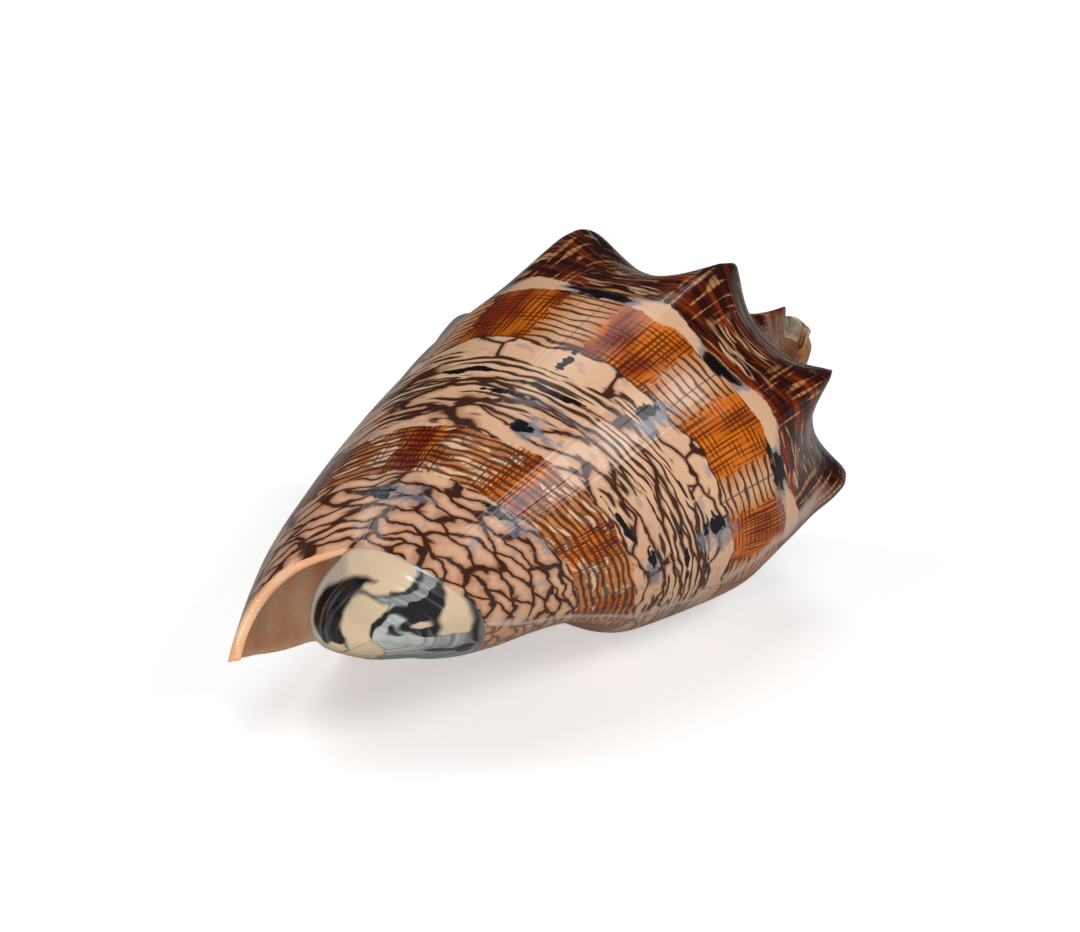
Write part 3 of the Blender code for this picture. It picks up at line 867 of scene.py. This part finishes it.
# The fasciole: the notch's old edges piled up under thick glaze, which gives the eye cream and
# blue-grey porcelain with black drawn through it.
fasciole = {
    "cream": "#E0C8A4",
    "rose": "#E0C0A6",
    "grey": "#6F7374",
    "pale": "#C6CAC6",
    "black": "#0E0F14",
    # colour, then along the growth angle: where it begins and ends from rim (0) to axis (1)
    "swirls": [
        ("cream", [(61, 0.1, 0.2), (63, 0.04, 0.28), (66, 0, 0.34), (75, 0, 0.4), (90, 0, 0.44),
                   (110, 0, 0.4), (135, 0, 0.5), (214, 0, 0.6)]),
        ("black", [(84, 0.3, 0.31), (95, 0.29, 0.35), (110, 0.27, 0.44), (130, 0.22, 0.49),
                   (150, 0.12, 0.53), (170, 0.1, 0.58), (188, 0.16, 0.66), (196, 0.3, 0.55)]),
        ("cream", [(65, 0.5, 0.5), (68, 0.5, 0.62), (75, 0.52, 0.7), (85, 0.5, 0.8),
                   (97, 0.48, 0.88), (115, 0.49, 0.95), (140, 0.52, 0.97), (170, 0.6, 0.97),
                   (190, 0.68, 0.97), (214, 0.4, 0.95)]),
        ("black", [(50, 0.38, 0.42), (58, 0.45, 0.58), (66, 0.58, 0.75), (75, 0.68, 0.85),
                   (88, 0.8, 0.92), (105, 0.9, 0.98), (130, 0.96, 0.99)]),
        ("black", [(56, 0, 0.16), (59, 0, 0.26), (61.5, 0.18, 0.32), (66, 0.31, 0.37),
                   (72, 0.36, 0.4)]),
        ("black", [(-8, 0.42, 0.46), (0, 0.4, 0.6), (13, 0.37, 0.65), (24, 0.27, 0.7),
                   (32, 0.18, 0.68), (40, 0.06, 0.62), (46, 0, 0.6), (49, 0.12, 0.6),
                   (51, 0.38, 0.6), (60, 0.46, 0.6), (63, 0.5, 0.55)]),
        ("black", [(8, 0.7, 0.74), (25, 0.72, 0.8), (40, 0.68, 0.78), (52, 0.62, 0.66)]),
        ("grey", [(36, 0.56, 0.6), (45, 0.54, 0.66), (55, 0.55, 0.74), (66, 0.7, 0.78)]),
        ("cream", [(-6, 0.24, 0.28), (-3, 0.14, 0.38), (5, 0.1, 0.38), (15, 0.07, 0.34),
                   (25, 0.04, 0.27), (35, 0.01, 0.15), (44, 0, 0.03), (46, 0, 0)]),
        ("black", [(-24, 0.02, 0.06), (-10, 0.06, 0.13), (0, 0.05, 0.11), (12, 0.02, 0.07),
                   (25, 0, 0.04), (35, 0, 0.01)]),
        ("pale", [(13, 0.49, 0.5), (16, 0.44, 0.56), (20, 0.42, 0.58), (24, 0.43, 0.57),
                  (28, 0.5, 0.52)]),
        ("black", [(-70, 0.35, 0.4), (-58, 0.22, 0.42), (-45, 0.08, 0.25), (-32, 0.06, 0.14),
                   (-25, 0.05, 0.06)]),
        ("cream", [(-146, 0, 0.98), (-125, 0.1, 0.95), (-110, 0.4, 0.9), (-100, 0.65, 0.8)]),
    ],
}


def makeFasciole():
    material, shader, angle, place = newMaterial("glazedFasciole", Roughness=0.2, IOR=1.53)
    tree = angle.tree
    share = place / 10 + patches(tree, 16, 50, 201.0) * 0.02
    turned = angle + patches(tree, 30, 25, 203.0) * 5
    flow = patches(tree, 60, 9, 209.0) + patches(tree, 30, 6, 211.0) * 0.4
    cream, rose, plainGrey, pale, black = (
        linear(fasciole[name]) for name in ("cream", "rose", "grey", "pale", "black"))
    grey = paint(plainGrey, pale, (flow * 0.3 + share * 0.9).ease(-0.1, 0.8))
    dark = paint(black, plainGrey, flow.ease(0.1, 1.0) * 0.5)
    light = paint(cream, rose, flow.ease(-0.6, 0.9) * 0.6)
    light = paint(light, pale, turned.ease(95, 150) * (1 - share.ease(0.1, 0.4)) * 0.7)
    pigments = {"cream": light, "black": dark, "grey": grey, "pale": rose}
    colour = grey
    for name, stations in fasciole["swirls"]:
        first, last = stations[0][0], stations[-1][0]
        along = [(station[0] - first) / (last - first) for station in stations]
        here = (turned - first) / (last - first)
        low, high = (readTable(here, along, [max(station[k], 0.001) for station in stations])
                     for k in (1, 2))
        inside = (share - low).ease(-0.04, 0.035) * (high - share).ease(-0.04, 0.035)
        inside *= (turned - first).ease(-1, 3) * (last - turned).ease(-1, 3)
        if name == "cream":
            # each patch of cream has a thin dark outline
            edge = (share - low).ease(-0.07, -0.02) * (high - share).ease(-0.07, -0.02)
            edge *= (turned - first).ease(-4, 0) * (last - turned).ease(-4, 0)
            colour = paint(colour, dark, edge * share.ease(0.02, 0.08) * 0.6)
        colour = paint(colour, pigments[name], inside)
    relief = patches(tree, 60, 9, 205.0) + patches(tree, 4, 60, 207.0) * 0.4
    finishMaterial(shader, colour, relief=relief, depth=0.00005)
    return material


# The first whorls, worn through the glaze and dull: paler on the side that faces up as the shell
# lies, tan lower down, darker tan in the furrows between the ribs.
nucleus = {
    "upperPale": "#DDCDB4",
    "tan": "#BE7B3A",
    "furrow": "#7A4A26",
}


def makeNucleus():
    material, shader, angle, ring = newMaterial("wornNucleus", Roughness=0.42, IOR=1.53)
    tree = angle.tree
    worn = patches(tree, 24, 40, 301.0)
    # paler towards the side that faces up as the shell lies
    upper = (angle * radians(1)).do("SINE")
    colour = paint(linear(nucleus["tan"]), linear(nucleus["upperPale"]),
                   (worn * 1.2 + ring * 0.35 + upper * 3).ease(1.2, 4))
    # darker in the furrows between the ribs
    furrows = (angle * radians(shell["nucleusRibs"])).do("COSINE").ease(-0.6, -1)
    furrows *= 1 - ring.ease(5, 9)
    colour = paint(colour, linear(nucleus["furrow"]), furrows * 0.4)
    relief = patches(tree, 10, 20, 303.0) + patches(tree, 40, 60, 305.0)
    finishMaterial(shader, colour, relief=relief, depth=0.0004)
    return material


# The mouth: thick glaze, polished smooth, which gives the eye glossy peach with a deeper orange
# along its upper rim.
mouth = {
    "peach": "#F8C99E",
    "salmon": "#F0AC7E",
    "orange": "#E88A30",
}


def makeMouthGlaze():
    material, shader, angle, u = newMaterial("mouthGlaze", Roughness=0.2, IOR=1.53)
    cloud = patches(angle.tree, 14, 9, 401.0)
    colour = paint(linear(mouth["peach"]), linear(mouth["salmon"]), cloud.ease(-0.8, 0.8))
    underRim = u.ease(8.8, 9.6) * u.ease(10, 9.9) * angle.ease(213, 185)
    colour = paint(colour, linear(mouth["orange"]), underRim * 0.85)
    relief = patches(angle.tree, 1.0, 30, 403.0)
    finishMaterial(shader, colour, relief=relief, depth=0.00005)
    return material


# Camera, floor and lights; lengths in metres, angles in degrees.
studio = {
    "azimuth": 38.5,
    "elevation": 26.4,
    "distance": 0.8,
    "target": (0.00947, -0.00336, 0.03825),
    "lens": 121.3,
    "shift": (-0.0272, 0.025),
    "floorColour": "#FFFFFF",
    "floorBounce": "#C0C0BE",
    "floorGlow": 0.45,
    "worldLight": 0.045,
    # soft discs: name, place and size in metres, power in watts
    "lights": [("left", (-1.0, -0.55, 1.05), 0.8, 7.6),
               ("right", (0.88, 0.1, 0.85), 0.5, 5),
               ("above", (-0.1, 0.4, 1.2), 0.6, 3),
               ("front", (0.7, -1.0, 0.14), 0.6, 11.5)],
}


def makeCamera():
    azimuth, elevation = radians(studio["azimuth"]), radians(studio["elevation"])
    back = Vector((sin(azimuth) * cos(elevation), -cos(azimuth) * cos(elevation),
                   sin(elevation)))
    data = bpy.data.cameras.new("camera")
    data.lens = studio["lens"]
    data.sensor_width = 36
    data.shift_x, data.shift_y = studio["shift"]
    camera = bpy.data.objects.new("camera", data)
    camera.location = Vector(studio["target"]) + back * studio["distance"]
    camera.rotation_euler = back.to_track_quat("Z", "Y").to_euler()
    bpy.context.scene.collection.objects.link(camera)
    bpy.context.scene.camera = camera


def makeLight(name, place, size, power, target=(0, 0, 0.03)):
    data = bpy.data.lights.new(name, "AREA")
    data.shape = "DISK"
    data.size = size
    data.energy = power
    light = bpy.data.objects.new(name, data)
    light.location = place
    light.rotation_euler = (Vector(place) - Vector(target)).to_track_quat("Z", "Y").to_euler()
    bpy.context.scene.collection.objects.link(light)


def makeStudio():
    bpy.ops.mesh.primitive_plane_add(size=6)
    floor = bpy.context.object
    floor.name = "floor"
    floorMaterial = bpy.data.materials.new("paleFloor")
    floorMaterial.use_nodes = True
    tree = floorMaterial.node_tree
    floorShader = tree.nodes["Principled BSDF"]
    floorShader.inputs["Roughness"].default_value = 0.9
    # white to the camera, and dimmer to the object, which it would light from below
    seen = Number(tree, addNode(tree, "ShaderNodeLightPath").outputs["Is Camera Ray"])
    colour = paint(linear(studio["floorBounce"]), linear(studio["floorColour"]), seen)
    tree.links.new(colour, floorShader.inputs["Base Color"])
    tree.links.new((seen * studio["floorGlow"]).socket, floorShader.inputs["Emission Strength"])
    floorShader.inputs["Emission Color"].default_value = linear(studio["floorColour"])
    floor.data.materials.append(floorMaterial)
    # the world lights at one level, and the camera sees it white
    world = bpy.data.worlds.new("studio")
    world.use_nodes = True
    background = world.node_tree.nodes["Background"]
    background.inputs["Color"].default_value = (1, 1, 1, 1)
    seen = addNode(world.node_tree, "ShaderNodeLightPath").outputs["Is Camera Ray"]
    level = Number(world.node_tree, seen) * (1 - studio["worldLight"]) + studio["worldLight"]
    world.node_tree.links.new(level.socket, background.inputs["Strength"])
    bpy.context.scene.world = world
    for name, place, size, power in studio["lights"]:
        makeLight(name, place, size, power)
    bpy.context.scene.view_settings.view_transform = "Standard"
    # light thrown to and fro between floor and shell adds nothing after this
    bpy.context.scene.cycles.diffuse_bounces = 2


materials = [makePatterned(), makeFasciole(), makeNucleus(), makeMouthGlaze()]
print("materials ready:", ", ".join(material.name for material in materials))
piece = makeShell(materials)
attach(piece, "root")
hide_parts("shell")
makeCamera()
makeStudio()
print("camera, lights and floor ready")
